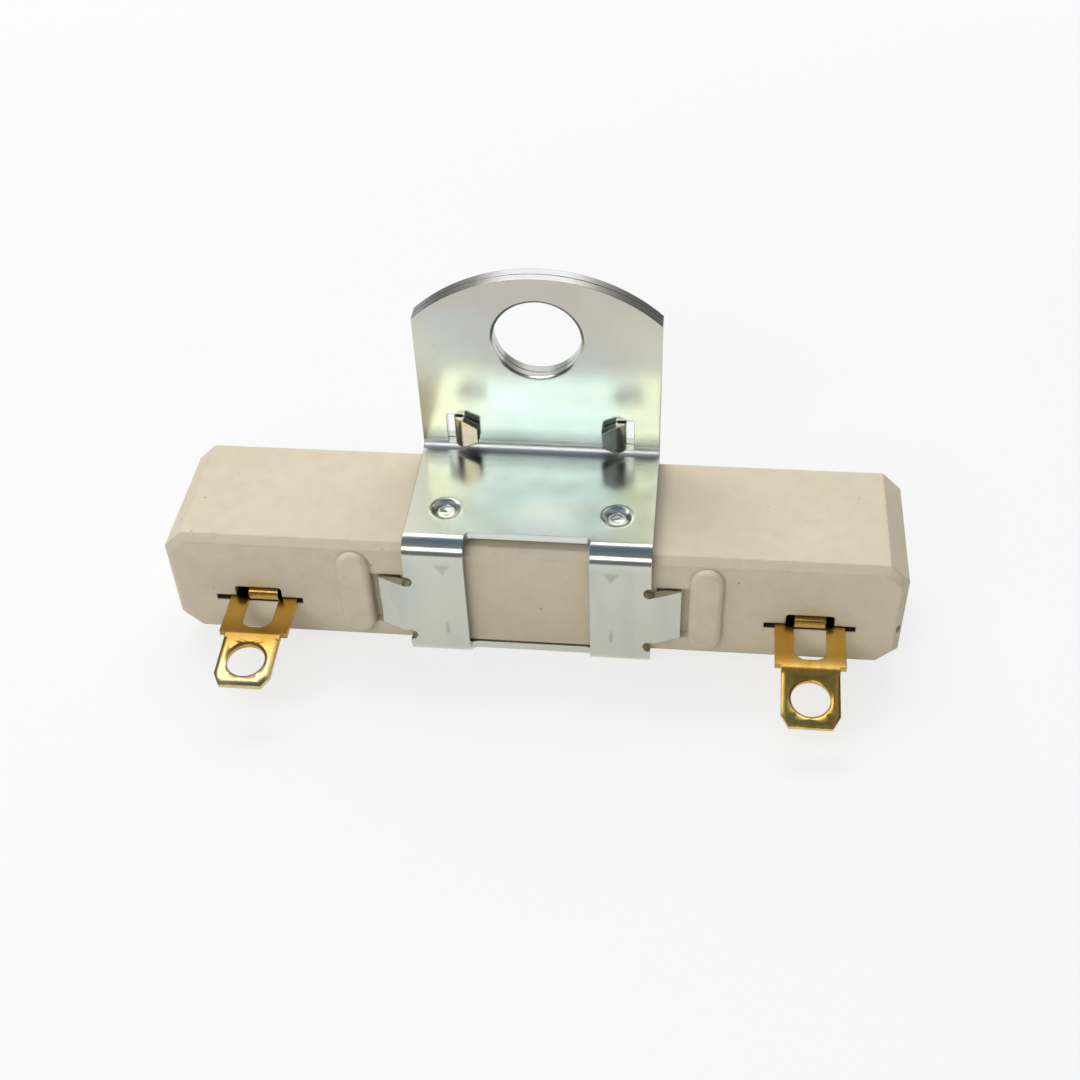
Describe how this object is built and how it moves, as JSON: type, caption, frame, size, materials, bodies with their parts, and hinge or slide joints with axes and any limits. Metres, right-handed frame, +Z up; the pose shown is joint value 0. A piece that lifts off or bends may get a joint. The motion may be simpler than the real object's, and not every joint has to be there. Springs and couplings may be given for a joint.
{
  "type": "ballast resistor",
  "caption": "Ceramic block resistor with brass terminal lugs, held in a folded sheet steel bracket with a rounded mounting plate and a bolt hole.",
  "frame": {"origin": "centre of the mounting hole on the rear face of the bracket's mounting plate", "axes": "+X along the ceramic block, +Y to the back along the mounting hole's axis, +Z up; the terminals point to -Y"},
  "size_m": [0.1016, 0.0376, 0.05],
  "materials": {
    "ceramic": "matte unglazed",
    "plated_steel": "satin zinc plate",
    "terminal_brass": "bright",
    "resistance_wire": "dull oxidised"
  },
  "bodies": {
    "root": {"ceramic_body": "ceramic", "mounting_bracket": "plated_steel", "left_terminal": "terminal_brass", "right_terminal": "terminal_brass", "resistance_coil": "resistance_wire"}
  },
  "joints": []
}
